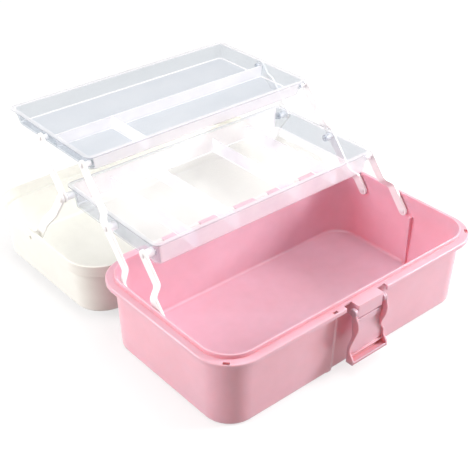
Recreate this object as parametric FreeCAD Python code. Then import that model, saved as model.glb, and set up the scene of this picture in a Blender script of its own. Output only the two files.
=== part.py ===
import FreeCAD
import Part
import math
import os

# Tool storage box with a hinged lid, two trays that rise on folding arms, a front latch and a handle.
# Millimetres. Z is up, the latch faces -Y, and the origin is the centre of the base's underside.
# The box is modelled open, as it stands in use. The lid is drawn shut first and then turned open.

# Base tub
rim_length = 320.0
rim_width = 178.3
rim_height = 81.3
foot_taper_x = 3.0
foot_taper_y = 2.95
wall = 2.0
rim_corner = 30.0
foot_corner = 28.0
foot_round = 3.5
lip_round = 0.8
tub_inner_round = 3.0

# Flange round the base, under the lip that the lid fits over
flange_below_rim = 4.3
flange_reach = 7.5
flange_thick = 2.0
flange_skirt = 5.0
flange_corner_extra = 6.0
flange_round = 1.4
skirt_round = 0.6
corner_slot_long = 6.0
corner_slot_wide = 3.2
corner_slot_in_x = 12.5
corner_slot_in_y = 12.2
front_slot_x = -38.5
front_slot_in = 2.6
front_slot_long = 5.5
front_slot_wide = 3.0

# Finger recess in the front wall and the boss that carries the latch
recess_half = 32.5
recess_depth = 3.5
recess_run = 9.0
recess_lead = 0.05
boss_half = 16.3
boss_height = 14.5
boss_reach = 4.3
notch_half = 26.6
notch_depth = 5.2
boss_edge_round = 1.2

# Latch
latch_axis_out = 1.8
latch_pin_radius = 1.25
latch_plate = 2.5
latch_length = 54.5
latch_start = 8.0
latch_arm_half = 21.0
latch_arm_gap = 0.5
latch_eye_radius = 4.0
latch_waist_half = 17.6
latch_waist_at = 22.0
latch_flare_at = 37.0
latch_end_half = 23.5
latch_hook_reach = 5.85
latch_hook_tip = 0.7
latch_side_wall = 2.0
latch_side_depths = ((8.0, 6.0), (17.0, 5.6), (25.0, 2.6), (31.0, 1.2), (45.0, 1.2))
lid_slot_gap = 0.5
lid_slot_depth = 4.9
catch_gap = 1.0
catch_half = 20.5
catch_reach = 4.6
catch_height = 6.5
catch_nose = 3.0
latch_line_at = 48.0
latch_line = 1.0

# Lid
lid_gap = 0.3
lid_skirt = 13.0
lid_ledge_in = 5.0
lid_ledge_thick = 2.0
lid_height = 60.0
lid_taper_x = 2.5
lid_taper_y = 1.5
lid_corner = 31.0
lid_round = 4.0
lid_inner_round = 3.0

# Hinge along the back
hinge_out = 2.8
hinge_drop = 4.0
knuckle_radius = 4.0
knuckle_pitch = 46.0
lid_knuckle = 18.0
knuckle_gap = 0.3
knuckle_window = 1.1
knuckle_web = 8.0
lid_knuckles = 5
hinge_pin_radius = 1.5
hinge_pin_inset = 2.0

# Handle, folded flat on the lid
handle_half = 60.0
handle_arm = 10.0
handle_depth = 44.0
handle_grip = 17.0
handle_lift = 0.45
handle_ground_gap = 0.2
handle_round = 2.4
handle_eye_radius = 3.9
handle_pivot_up = 4.3
handle_pin_radius = 1.5
handle_outer_corner = 16.0
handle_inner_corner = 9.0
lug_thick = 5.0
lug_radius = 4.1

# Trays
tray_side_room = 20.0
tray_front_room = 6.1
tray_back_room = 21.3
tray_wall = 1.3
tray_rim_reach = 3.4
tray_rim_thick = 1.3
tray_rim_corner = 7.0
tray_corner = 5.0
tray_floor_corner = 7.0
tray_floor_round = 2.0
tray_inner_round = 1.0
divider = 1.2
lower_tray_height = 24.5
lower_tray_taper = 1.8
lower_divider_places = (-90.0, -40.5, 40.5, 90.0)
divider_nest_gap = 0.9
upper_tray_height = 17.5
upper_tray_taper_x = 3.0
upper_tray_taper_y = 3.6
upper_divider_drop = 3.0
upper_long_divider_from_front = 68.0
upper_cross_divider_x = -68.0

# Folding arms: flat bars with round ends, stepped sideways to pass the tray rims
arm_lower = 68.0
arm_upper = 62.0
arm_width = 10.0
arm_thick = 3.0
arm_pair_spacing = 57.0
open_angle = 50.5
shut_angle = 12.0
arm_pivot_below_flange = 13.5
first_pivot_from_front = 10.1
third_pivot_from_back = 6.9
lower_pivot_below_rim = 9.9
upper_pivot_below_rim = 7.6
arm_wall_gap = 0.85
arm_rim_gap = 0.6
arm_step = 3.9
short_step_from = 30.0
short_step_to = 38.0
long_step_reach = 21.0
long_step_run = 10.0
upper_step_from = 8.0
upper_step_to = 14.0
rear_step_from = 42.0
rear_step_to = 48.0

# Links that join the lid to the lower tray
lid_pin_above_flange = 9.2
link_gap = 0.6
link_lip_gap = 0.5
link_step_from = 26.0
link_step_to = 40.0
lid_boss_radius = 4.0
link_button_radius = 3.6
link_button = 1.0

# Pivot pins and their fits
pin_radius = 1.8
pin_head_radius = 2.6
pin_head = 1.0
running_fit = 0.05
open_pivot_fit = 0.15
side_play = 0.3
pin_recess = 1.0
pin_end_gap = 0.4
pin_flush = 0.2
tray_boss_radius = 4.0
upper_boss_radius = 2.6
boss_sink = 3.5
blind_wall = 0.4

# Ribs inside the end walls, on which the front arms come to rest
rib_y_from_pivot = 10.5
rib_thick = 2.8
rib_stand = 4.6
rib_seat_gap = 0.3

# Levels and lines that follow from the sizes above
flange_top = rim_height - flange_below_rim
flange_bottom = flange_top - flange_skirt
flange_half_x = rim_length / 2 + flange_reach
flange_half_y = rim_width / 2 + flange_reach
flange_corner = rim_corner + flange_corner_extra
lid_bottom = flange_top + lid_gap
lid_top = flange_top + lid_height
ledge_top = lid_bottom + lid_skirt
hinge_y = flange_half_y + hinge_out
hinge_z = flange_top - hinge_drop
latch_y = -flange_half_y - latch_axis_out
latch_z = flange_top - boss_height / 2
handle_z = lid_top + handle_pivot_up
handle_top = 2 * hinge_z - handle_ground_gap


def mix(low, high, share):
    """The value a share of the way from low to high."""
    return low + (high - low) * share


def base_section(level, inset=0.0):
    """Half length, half width and corner radius of the tub at a height, moved in by inset."""
    share = level / rim_height
    half_x = mix(rim_length / 2 - foot_taper_x, rim_length / 2, share) - inset
    half_y = mix(rim_width / 2 - foot_taper_y, rim_width / 2, share) - inset
    return half_x, half_y, mix(foot_corner, rim_corner, share) - inset


def lid_section(level, inset=0.0):
    """Half length, half width and corner radius of the lid's upper body at a height, lid shut."""
    share = (level - ledge_top) / (lid_top - ledge_top)
    half_x = flange_half_x - lid_ledge_in - lid_taper_x * share - inset
    half_y = flange_half_y - lid_ledge_in - lid_taper_y * share - inset
    return half_x, half_y, lid_corner - inset


def swing(length, degrees):
    """The (y, z) step along an arm of this length, at an angle above the backward direction."""
    turn = math.radians(degrees)
    return length * math.cos(turn), length * math.sin(turn)


def moved(point, step):
    """A (y, z) point moved by a (y, z) step."""
    return point[0] + step[0], point[1] + step[1]


# Where the trays lie when the box is shut, and the arm pivots that this asks for, as (y, z) points
arm_pivot_z = flange_top - arm_pivot_below_flange
tray_half_x = rim_length / 2 - tray_side_room
tray_front_shut = -(rim_width / 2 - wall) + tray_front_room
tray_back_shut = rim_width / 2 - wall - tray_back_room
tray_half_y = (tray_back_shut - tray_front_shut) / 2
tray_centre_shut = (tray_back_shut + tray_front_shut) / 2

shut_lower = swing(arm_lower, 180.0 - shut_angle)
shut_upper = swing(arm_upper, 180.0 - shut_angle)
open_lower = swing(arm_lower, open_angle)
open_upper = swing(arm_upper, open_angle)
shut_first_y = tray_front_shut + first_pivot_from_front
shut_third_y = tray_back_shut - third_pivot_from_back
rear_spacing = shut_third_y - shut_first_y - arm_pair_spacing

first_pivot = (shut_first_y - shut_lower[0], arm_pivot_z)
second_pivot = moved(first_pivot, (arm_pair_spacing, 0.0))
lower_first = moved(first_pivot, open_lower)
lower_second = moved(second_pivot, open_lower)
lower_third = moved(lower_second, (rear_spacing, 0.0))
upper_first = moved(lower_second, open_upper)
upper_second = moved(lower_third, open_upper)
lower_third_shut = moved(moved(second_pivot, shut_lower), (rear_spacing, 0.0))

lower_rim = lower_second[1] + lower_pivot_below_rim
upper_rim = upper_first[1] + upper_pivot_below_rim
lower_centre = tray_centre_shut + open_lower[0] - shut_lower[0]
upper_centre = lower_centre + open_upper[0] - shut_upper[0]
nest_depth = lower_pivot_below_rim - shut_upper[1] - upper_pivot_below_rim + upper_tray_height

# The lid's link is as long with the box shut as with it open. Its pin lies at a set height on the
# lid, and equal lengths at both ends of the travel give the pin's place along the lid.
lid_pin_z = flange_top + lid_pin_above_flange
open_run_y = lower_third[0] - 2 * hinge_y
open_run_z = lower_third[1] - 2 * hinge_z
weight_y = 2 * (open_run_y + lower_third_shut[0])
weight_z = 2 * (open_run_z + lower_third_shut[1])
balance = math.hypot(*lower_third_shut) ** 2 - math.hypot(open_run_y, open_run_z) ** 2
lid_pin_y = (balance - weight_z * lid_pin_z) / weight_y
lid_pin_open = (2 * hinge_y - lid_pin_y, 2 * hinge_z - lid_pin_z)
link_length = math.dist(lid_pin_open, lower_third)

# Side planes of the arms, right half: beside the tub's wall, beside the lower tray, over its rim
base_plane = base_section(arm_pivot_z, wall)[0] - arm_wall_gap - arm_thick / 2
top_plane = tray_half_x + arm_rim_gap + arm_thick / 2
middle_plane = top_plane + arm_step
link_plane = middle_plane + arm_thick + link_gap
lid_plane = rim_length / 2 - wall - link_lip_gap - arm_thick / 2


def outline(half_x, half_y, radius, level, centre_y=0.0):
    """A closed wire: a rectangle with round corners, level with the ground."""
    edges = []
    ends = []
    for quarter in range(4):
        sign_x = 1 if quarter in (0, 3) else -1
        sign_y = 1 if quarter in (0, 1) else -1
        corner_x = sign_x * (half_x - radius)
        corner_y = centre_y + sign_y * (half_y - radius)
        points = []
        for turn in (0, 45, 90):
            angle = math.radians(90 * quarter + turn)
            x = corner_x + radius * math.cos(angle)
            y = corner_y + radius * math.sin(angle)
            points.append(FreeCAD.Vector(x, y, level))
        edges.append(Part.Arc(*points).toShape())
        ends.append((points[0], points[2]))
    for quarter in range(4):
        edges.append(Part.makeLine(ends[quarter][1], ends[(quarter + 1) % 4][0]))
    return Part.Wire(Part.__sortEdges__(edges))


def slab(half_x, half_y, radius, low, high, centre_y=0.0):
    """A flat block with round corners between two heights."""
    face = Part.Face(outline(half_x, half_y, radius, low, centre_y))
    return face.extrude(FreeCAD.Vector(0, 0, high - low))


def tapered(section, low, high, inset=0.0, centre_y=0.0):
    """A solid between a section's outlines at two heights."""
    lower = outline(*section(low, inset), low, centre_y)
    upper = outline(*section(high, inset), high, centre_y)
    return Part.makeLoft([lower, upper], True, True)


def block(x_low, x_high, y_low, y_high, z_low, z_high):
    corner = FreeCAD.Vector(x_low, y_low, z_low)
    return Part.makeBox(x_high - x_low, y_high - y_low, z_high - z_low, corner)


def rod(x_low, x_high, centre, radius):
    """A round bar along X through a (y, z) point."""
    start = FreeCAD.Vector(x_low, *centre)
    return Part.makeCylinder(radius, x_high - x_low, start, FreeCAD.Vector(1, 0, 0))


def side_plate(points, x_low, x_high):
    """A plate with an outline given as (y, z) points, between two places along X."""
    corners = [FreeCAD.Vector(x_low, y, z) for y, z in points]
    face = Part.Face(Part.makePolygon(corners + corners[:1]))
    return face.extrude(FreeCAD.Vector(x_high - x_low, 0, 0))


def cross_plate(points, y_low, y_high):
    """A plate with an outline given as (x, z) points, between two places along Y."""
    corners = [FreeCAD.Vector(x, y_low, z) for x, z in points]
    face = Part.Face(Part.makePolygon(corners + corners[:1]))
    return face.extrude(FreeCAD.Vector(0, y_high - y_low, 0))


def rounded(solid, level, radius):
    """The solid with the edges that lie at one height rounded."""
    edges = []
    for edge in solid.Edges:
        box = edge.BoundBox
        if abs(box.ZMin - level) < 0.001 and abs(box.ZMax - level) < 0.001:
            edges.append(edge)
    return solid.makeFillet(radius, edges)


def mirrored(solid):
    """The left-hand copy of a right-hand piece."""
    return solid.mirror(FreeCAD.Vector(0, 0, 0), FreeCAD.Vector(1, 0, 0))


def both_sides(solid):
    return [solid, mirrored(solid)]


def joined(solids):
    """One solid from touching ones, with the seams between flush faces removed."""
    return solids[0].multiFuse(solids[1:]).removeSplitter()


def turned_open(solid):
    """A piece of the shut lid, turned half round the hinge to where it lies open."""
    copy = solid.copy()
    copy.rotate(FreeCAD.Vector(0, hinge_y, hinge_z), FreeCAD.Vector(1, 0, 0), 180)
    return copy


def lid_knuckle_centres():
    return [(place - (lid_knuckles - 1) / 2) * knuckle_pitch for place in range(lid_knuckles)]


def base_knuckle_centres():
    return [(place - lid_knuckles / 2) * knuckle_pitch for place in range(lid_knuckles + 1)]


def base_knuckle_half():
    return (knuckle_pitch - lid_knuckle) / 2 - knuckle_gap


def base_flange():
    """The rim plate with its turned-down skirt, slots and openings."""
    plate = slab(flange_half_x, flange_half_y, flange_corner, flange_bottom, flange_top)
    plate = rounded(rounded(plate, flange_top, flange_round), flange_bottom, skirt_round)
    inner_x = flange_half_x - flange_thick
    inner_y = flange_half_y - flange_thick
    under = flange_top - flange_thick
    hollow = slab(inner_x, inner_y, flange_corner - flange_thick, flange_bottom - 1, under)
    tub = tapered(base_section, flange_bottom - 1, flange_top + 1, wall / 2)
    cuts = [hollow, tub]
    slot = block(-corner_slot_wide / 2, corner_slot_wide / 2, -corner_slot_long / 2, corner_slot_long / 2,
                 under, flange_top + 1)
    slot.rotate(FreeCAD.Vector(0, 0, 0), FreeCAD.Vector(0, 0, 1), -45)
    slot.translate(FreeCAD.Vector(flange_half_x - corner_slot_in_x, -flange_half_y + corner_slot_in_y, 0))
    cuts += both_sides(slot)
    slot_y = -flange_half_y + front_slot_in
    cuts.append(block(front_slot_x - front_slot_long / 2, front_slot_x + front_slot_long / 2,
                      slot_y - front_slot_wide / 2, slot_y + front_slot_wide / 2, under, flange_top + 1))
    notch = block(boss_half, notch_half, -flange_half_y - 1, -flange_half_y + notch_depth,
                  flange_bottom - 1, flange_top + 1)
    cuts += both_sides(notch)
    window_half = lid_knuckle / 2 + knuckle_gap
    window_start = hinge_y - knuckle_radius - knuckle_window
    for x in lid_knuckle_centres():
        cuts.append(block(x - window_half, x + window_half, window_start, hinge_y,
                          flange_bottom - 1, flange_top + 1))
    return plate.cut(cuts)


def front_line(level, inset):
    """The (y, z) point on the front wall at a height, moved in from the outer face."""
    return -(base_section(level, inset)[1]), level


def front_recess():
    """The finger room behind the latch; each end runs in along two equal arcs."""
    low = -1.0
    high = flange_top - flange_thick
    face = front_line(low, -recess_lead)[0]
    floor = front_line(low, recess_depth)[0]
    step = floor - face
    radius = (recess_run ** 2 + step ** 2) / (4 * step)
    half_turn = math.asin(recess_run / 2 / radius) / 2
    across = radius * math.sin(half_turn)
    along = radius * (1 - math.cos(half_turn))

    def at(x, y):
        return FreeCAD.Vector(x, y, low)

    edges = []
    for side in (1, -1):
        mouth = at(side * recess_half, face)
        middle = at(side * (recess_half - recess_run / 2), face + step / 2)
        inner = at(side * (recess_half - recess_run), floor)
        first = at(side * (recess_half - across), face + along)
        second = at(side * (recess_half - recess_run + across), floor - along)
        edges.append(Part.Arc(mouth, first, middle).toShape())
        edges.append(Part.Arc(middle, second, inner).toShape())
        edges.append(Part.makeLine(mouth, at(side * recess_half, face - 1)))
        edges.append(Part.makeLine(inner, at(0, floor)))
    edges.append(Part.makeLine(at(-recess_half, face - 1), at(recess_half, face - 1)))
    rise = FreeCAD.Vector(0, front_line(high, 0)[0] - front_line(low, 0)[0], high - low)
    return Part.Face(Part.Wire(Part.__sortEdges__(edges))).extrude(rise)


def latch_boss():
    """The block under the rim that the latch turns on."""
    bottom = flange_top - boss_height
    front = -flange_half_y - boss_reach
    back = front_line(bottom, recess_depth + wall / 2)[0]
    boss = block(-boss_half, boss_half, front, back, bottom, flange_top)
    edges = []
    for edge in boss.Edges:
        box = edge.BoundBox
        if box.YMax < front + 0.001 and box.ZMin < flange_top - 0.001:
            edges.append(edge)
    return boss.makeFillet(boss_edge_round, edges)


def end_rib():
    """The upright rib inside the right end wall, under the front arm."""
    centre = first_pivot[0] - rib_y_from_pivot
    inner = base_section(arm_pivot_z, wall)[0] - rib_stand
    slope = math.radians(shut_angle)
    run = first_pivot[0] - centre - rib_thick / 2
    top = arm_pivot_z + run * math.tan(slope) - arm_width / 2 / math.cos(slope) - rib_seat_gap
    points = [(inner, wall / 2), (inner, top)]
    points.append((base_section(top, wall / 2)[0], top))
    points.append((base_section(wall / 2, wall / 2)[0], wall / 2))
    return cross_plate(points, centre - rib_thick / 2, centre + rib_thick / 2)


def make_base():
    """The pink tub: walls, floor, rim plate, hinge knuckles, latch boss and arm ribs."""
    outer = rounded(tapered(base_section, 0, rim_height), 0, foot_round)
    inner = rounded(tapered(base_section, wall, rim_height + 1, wall), wall, tub_inner_round)
    tub = rounded(outer.cut(inner), rim_height, lip_round)
    inside = recess_depth + wall
    pad_points = [front_line(0, wall / 2), front_line(0, inside)]
    pad_points += [front_line(flange_top, inside), front_line(flange_top, wall / 2)]
    pad = side_plate(pad_points, -recess_half - wall, recess_half + wall)
    shell = tub.fuse(pad).cut(front_recess())
    pieces = [shell, base_flange(), latch_boss()] + both_sides(end_rib())
    half = base_knuckle_half()
    for x in base_knuckle_centres():
        pieces.append(rod(x - half, x + half, (hinge_y, hinge_z), knuckle_radius))
        pieces.append(block(x - half, x + half, flange_half_y - flange_thick / 2, hinge_y,
                            flange_bottom, flange_top))
    body = joined(pieces)
    bores = [rod(-rim_length, rim_length, (hinge_y, hinge_z), hinge_pin_radius + running_fit)]
    bores.append(rod(-notch_half, notch_half, (latch_y, latch_z), latch_pin_radius + running_fit))
    wall_in = base_section(arm_pivot_z, wall)[0] - 1
    wall_out = base_section(arm_pivot_z)[0] + 1
    for pivot in (first_pivot, second_pivot):
        bores += both_sides(rod(wall_in, wall_out, pivot, pin_radius + running_fit))
    return body.cut(bores)


def lid_catch():
    """The ridge on the lid's front that the latch hooks over."""
    top = latch_z + latch_length - latch_plate - catch_gap
    face = -lid_section(top)[1]
    nose = face - catch_reach
    root = face + wall / 2
    points = [(root, top), (nose, top), (nose, top - catch_nose), (root, top - catch_height)]
    return side_plate(points, -catch_half, catch_half)


def lid_hinge_knuckle(x):
    """One of the lid's knuckles, with the web that joins it to the lid's skirt."""
    half = lid_knuckle / 2
    inner = flange_half_y - wall / 2
    top = lid_bottom + knuckle_web
    points = [(inner, top), (flange_half_y + wall / 2, top)]
    points.append((hinge_y + knuckle_radius * 0.8, hinge_z + knuckle_radius * 0.6))
    points += [(hinge_y, hinge_z), (inner, hinge_z + knuckle_radius * 0.3)]
    barrel = rod(x - half, x + half, (hinge_y, hinge_z), knuckle_radius)
    return [barrel, side_plate(points, x - half, x + half)]


def handle_lugs():
    """The pairs of ears on the lid's top that hold the right end of the handle."""
    inner_face = handle_half - handle_arm - side_play
    outer_face = handle_half + side_play
    lugs = []
    for low, high in ((inner_face - lug_thick, inner_face), (outer_face, outer_face + lug_thick)):
        lugs.append(rod(low, high, (0, handle_z), lug_radius))
        lugs.append(block(low, high, -lug_radius, lug_radius, lid_top - wall / 2, handle_z))
    return lugs


def make_lid():
    """The white lid: skirt, ledge, walls, top, hinge knuckles, catch, handle ears and pin bosses.

    Two slots in the skirt let the shut latch's side walls in.
    """
    skirt = slab(flange_half_x, flange_half_y, flange_corner, lid_bottom, ledge_top)
    skirt = rounded(rounded(skirt, ledge_top, flange_round), lid_bottom, skirt_round)
    dome = rounded(tapered(lid_section, ledge_top - lid_ledge_thick, lid_top), lid_top, lid_round)
    hollow_x = flange_half_x - wall
    hollow_y = flange_half_y - wall
    ledge_bottom = ledge_top - lid_ledge_thick
    mouth = slab(hollow_x, hollow_y, flange_corner - wall, lid_bottom - 1, ledge_bottom)
    room = tapered(lid_section, ledge_bottom - 1, lid_top - wall, wall)
    room = rounded(room, lid_top - wall, lid_inner_round)
    shell = skirt.fuse(dome).cut([mouth, room])
    pieces = [shell, lid_catch()]
    for x in lid_knuckle_centres():
        pieces += lid_hinge_knuckle(x)
    pin_boss = rod(lid_plane + arm_thick / 2 + side_play, flange_half_x - wall / 2,
                   (lid_pin_y, lid_pin_z), lid_boss_radius)
    for piece in [pin_boss] + handle_lugs():
        pieces += both_sides(piece)
    body = joined(pieces)
    cuts = [rod(-rim_length, rim_length, (hinge_y, hinge_z), hinge_pin_radius + running_fit)]
    slot_inner = latch_waist_half - latch_side_wall - lid_slot_gap
    cuts += both_sides(block(slot_inner, latch_arm_half + lid_slot_gap, -flange_half_y - 1,
                              -flange_half_y + lid_slot_depth, lid_bottom - 1, ledge_top + 1))
    cuts += both_sides(rod(lid_plane, flange_half_x + 1, (lid_pin_y, lid_pin_z), pin_radius + running_fit))
    ear_span = (handle_half - handle_arm - lug_thick - 1, handle_half + lug_thick + 1)
    cuts += both_sides(rod(*ear_span, (0, handle_z), handle_pin_radius + running_fit))
    return turned_open(body.cut(cuts))


def make_handle():
    """The carrying handle, a rounded U that folds flat on the lid."""
    low = lid_top + handle_lift
    high = handle_top
    reach = handle_depth + handle_outer_corner
    grip_back = handle_depth - handle_grip
    outer = slab(handle_half, reach / 2, handle_outer_corner, low, high, reach / 2 - handle_depth)
    inner_reach = grip_back + handle_outer_corner * 2
    inner = slab(handle_half - handle_arm, inner_reach / 2, handle_inner_corner, low - 1, high + 1,
                 inner_reach / 2 - grip_back)
    behind = block(-handle_half - 1, handle_half + 1, 0, reach, low - 1, high + 1)
    bow = outer.cut([inner, behind])
    bow = rounded(rounded(bow, high, handle_round), low, handle_round)
    pieces = [bow]
    pieces += both_sides(rod(handle_half - handle_arm, handle_half, (0, handle_z), handle_eye_radius))
    bores = both_sides(rod(handle_half - handle_arm - 1, handle_half + 1, (0, handle_z),
                           handle_pin_radius + running_fit))
    return turned_open(joined(pieces).cut(bores))


def make_handle_pins():
    low = handle_half - handle_arm - side_play - lug_thick + pin_end_gap
    high = handle_half + side_play + lug_thick - pin_end_gap
    return [turned_open(pin) for pin in both_sides(rod(low, high, (0, handle_z), handle_pin_radius))]


def latch_outline(inset, overrun):
    """The latch's front outline, waisted in the middle and wide at its free end.

    inset moves its sides in, and overrun moves its two ends out.
    """
    def at(x, distance):
        return FreeCAD.Vector(x, latch_y - latch_plate / 2, latch_z - distance)

    first = latch_start - overrun
    last = latch_length + overrun
    neck = latch_start + 1.5
    arm = latch_arm_half - inset
    end = latch_end_half - inset
    edges = [Part.makeLine(at(-arm, first), at(arm, first))]
    for side in (1, -1):
        waist = at(side * (latch_waist_half - inset), latch_waist_at)
        flare = at(side * (end - latch_side_wall), latch_flare_at)
        corner = at(side * end, latch_flare_at + 1)
        edges.append(Part.makeLine(at(side * arm, first), at(side * arm, neck)))
        edges.append(Part.Arc(at(side * arm, neck), waist, flare).toShape())
        edges.append(Part.makeLine(flare, corner))
        edges.append(Part.makeLine(corner, at(side * end, last)))
    edges.append(Part.makeLine(at(-end, last), at(end, last)))
    return Part.Wire(Part.__sortEdges__(edges))


def latch_side_walls():
    """The walls along the latch's two sides: deep beside the pin, low at the waist, deep at the hook."""
    outer = latch_y - latch_plate / 2
    root = outer + latch_plate / 2
    tip = outer - latch_hook_reach
    bottom = latch_z - latch_length
    run = FreeCAD.Vector(0, tip - root - 1, 0)
    strips = []
    for inset, overrun in ((0, 0), (latch_side_wall, 1)):
        face = Part.Face(latch_outline(inset, overrun))
        face.translate(FreeCAD.Vector(0, latch_plate / 2, 0))
        strips.append(face.extrude(run))
    points = [(root, bottom), (root, latch_z - latch_start)]
    points += [(outer - depth, latch_z - distance) for distance, depth in latch_side_depths]
    points += [(tip, bottom + latch_plate), (tip, bottom)]
    return strips[0].cut(strips[1]).common(side_plate(points, -latch_end_half, latch_end_half))


def make_latch():
    """The latch, hanging: two eyes, a waisted channel and the hook at its free end."""
    outer = latch_y - latch_plate / 2
    inner = latch_y + latch_plate / 2
    tip = outer - latch_hook_reach
    bottom = latch_z - latch_length
    hook_top = bottom + latch_plate
    plate = Part.Face(latch_outline(0, 0)).extrude(FreeCAD.Vector(0, latch_plate, 0))
    hook = block(-latch_end_half, latch_end_half, tip, inner, bottom, hook_top)
    lip = block(-latch_end_half, latch_end_half, tip, tip + 1, bottom, hook_top + latch_hook_tip)
    line_top = latch_z - latch_line_at
    line_half = latch_end_half - latch_side_wall
    line = block(-line_half, line_half, outer - latch_line, inner, line_top - latch_line, line_top)
    arm_inner = boss_half + latch_arm_gap
    arm_bottom = latch_z - latch_start - 1
    arm = block(arm_inner, latch_arm_half, outer, inner, arm_bottom, latch_z)
    eye = rod(arm_inner, latch_arm_half, (latch_y, latch_z), latch_eye_radius)
    start, depth = latch_side_depths[0]
    web = side_plate([(inner, latch_z), (latch_y - latch_eye_radius, latch_z), (outer - depth, latch_z - start),
                      (outer - depth, arm_bottom), (inner, arm_bottom)],
                     latch_arm_half - latch_side_wall, latch_arm_half)
    pieces = [plate, latch_side_walls(), hook, lip, line]
    for piece in (arm, eye, web):
        pieces += both_sides(piece)
    bore = rod(-notch_half, notch_half, (latch_y, latch_z), latch_pin_radius + running_fit)
    return joined(pieces).cut(bore)


def make_latch_pin():
    half = latch_arm_half - pin_end_gap
    return rod(-half, half, (latch_y, latch_z), latch_pin_radius)


def make_hinge_pin():
    half = lid_knuckles / 2 * knuckle_pitch + base_knuckle_half() - hinge_pin_inset
    return rod(-half, half, (hinge_y, hinge_z), hinge_pin_radius)


def tray_section_for(rim, height, taper_x, taper_y):
    """A function for one tray's half length, half width and corner radius at a height."""
    def section(level, inset=0.0):
        share = (rim - level) / height
        half_x = tray_half_x - tray_rim_reach - taper_x * share - inset
        half_y = tray_half_y - tray_rim_reach - taper_y * share - inset
        return half_x, half_y, mix(tray_corner, tray_floor_corner, share) - inset

    return section


lower_section = tray_section_for(lower_rim, lower_tray_height, lower_tray_taper, lower_tray_taper)
upper_section = tray_section_for(upper_rim, upper_tray_height, upper_tray_taper_x, upper_tray_taper_y)


def tray_shell(section, rim, height, centre, bosses):
    """A tray's floor, walls and turned-out rim, with round bosses that don't reach inside."""
    floor = rim - height
    outer = rounded(tapered(section, floor, rim, 0, centre), floor, tray_floor_round)
    room_floor = floor + tray_wall
    room = tapered(section, room_floor, rim + 1, tray_wall, centre)
    room = rounded(room, room_floor, tray_inner_round)
    rim_plate = slab(tray_half_x, tray_half_y, tray_rim_corner, rim - tray_rim_thick, rim, centre)
    return outer.fuse([rim_plate] + bosses).cut(room)


def tray_bosses(section, places, plane, radius):
    """Round bosses that hold the arms off the tray's end walls."""
    bosses = []
    for place in places:
        start = section(place[1])[0] - boss_sink
        bosses += both_sides(rod(start, plane - arm_thick / 2 - side_play, place, radius))
    return bosses


def tray_bore_start(section, place):
    """Where the blind hole for a tray's pivot pin ends, just outside the end wall."""
    return section(place[1])[0] + blind_wall


def tray_bores(section, places):
    """Blind holes for the pivot pins, in the bosses of both end walls."""
    bores = []
    for place in places:
        start = tray_bore_start(section, place)
        bores += both_sides(rod(start, base_plane, place, pin_radius + running_fit))
    return bores


def make_lower_tray():
    """The lower tray, with four cross dividers that stay below the nested upper tray."""
    places = (lower_first, lower_second, lower_third)
    bosses = tray_bosses(lower_section, places, middle_plane, tray_boss_radius)
    shell = tray_shell(lower_section, lower_rim, lower_tray_height, lower_centre, bosses)
    floor = lower_rim - lower_tray_height + tray_wall / 2
    top = lower_rim - nest_depth - divider_nest_gap
    half_low = lower_section(floor, tray_wall / 2)[1]
    half_high = lower_section(top, tray_wall / 2)[1]
    points = [(lower_centre - half_low, floor), (lower_centre - half_high, top)]
    points += [(lower_centre + half_high, top), (lower_centre + half_low, floor)]
    pieces = [shell]
    for x in lower_divider_places:
        pieces.append(side_plate(points, x - divider / 2, x + divider / 2))
    return joined(pieces).cut(tray_bores(lower_section, places))


def make_upper_tray():
    """The upper tray, with one lengthwise divider and one cross divider in front of it."""
    places = (upper_first, upper_second)
    bosses = tray_bosses(upper_section, places, top_plane, upper_boss_radius)
    shell = tray_shell(upper_section, upper_rim, upper_tray_height, upper_centre, bosses)
    floor = upper_rim - upper_tray_height + tray_wall / 2
    top = upper_rim - upper_divider_drop
    half_low = upper_section(floor, tray_wall / 2)[0]
    half_high = upper_section(top, tray_wall / 2)[0]
    long_y = upper_centre - tray_half_y + upper_long_divider_from_front
    long_points = [(-half_low, floor), (-half_high, top), (half_high, top), (half_low, floor)]
    long_divider = cross_plate(long_points, long_y - divider / 2, long_y + divider / 2)
    front_low = upper_centre - upper_section(floor, tray_wall / 2)[1]
    front_high = upper_centre - upper_section(top, tray_wall / 2)[1]
    cross_points = [(front_low, floor), (front_high, top), (long_y, top), (long_y, floor)]
    cross_x = upper_cross_divider_x
    cross_divider = side_plate(cross_points, cross_x - divider / 2, cross_x + divider / 2)
    body = joined([shell, long_divider, cross_divider])
    return body.cut(tray_bores(upper_section, places))


def strip(path, thick):
    """The outline of a bent strip: the path's points pushed half its thickness to each side."""
    left = []
    right = []
    for index, (x, s) in enumerate(path):
        normals = []
        for start in (index - 1, index):
            if 0 <= start < len(path) - 1:
                run_x = path[start + 1][0] - path[start][0]
                run_s = path[start + 1][1] - path[start][1]
                size = math.hypot(run_x, run_s)
                normals.append((run_s / size, -run_x / size))
        n_x = sum(normal[0] for normal in normals)
        n_s = sum(normal[1] for normal in normals)
        push = thick / 2 * len(normals) / (n_x * n_x + n_s * n_s)
        left.append((x - n_x * push, s - n_s * push))
        right.append((x + n_x * push, s + n_s * push))
    return left + right[::-1]


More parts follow.
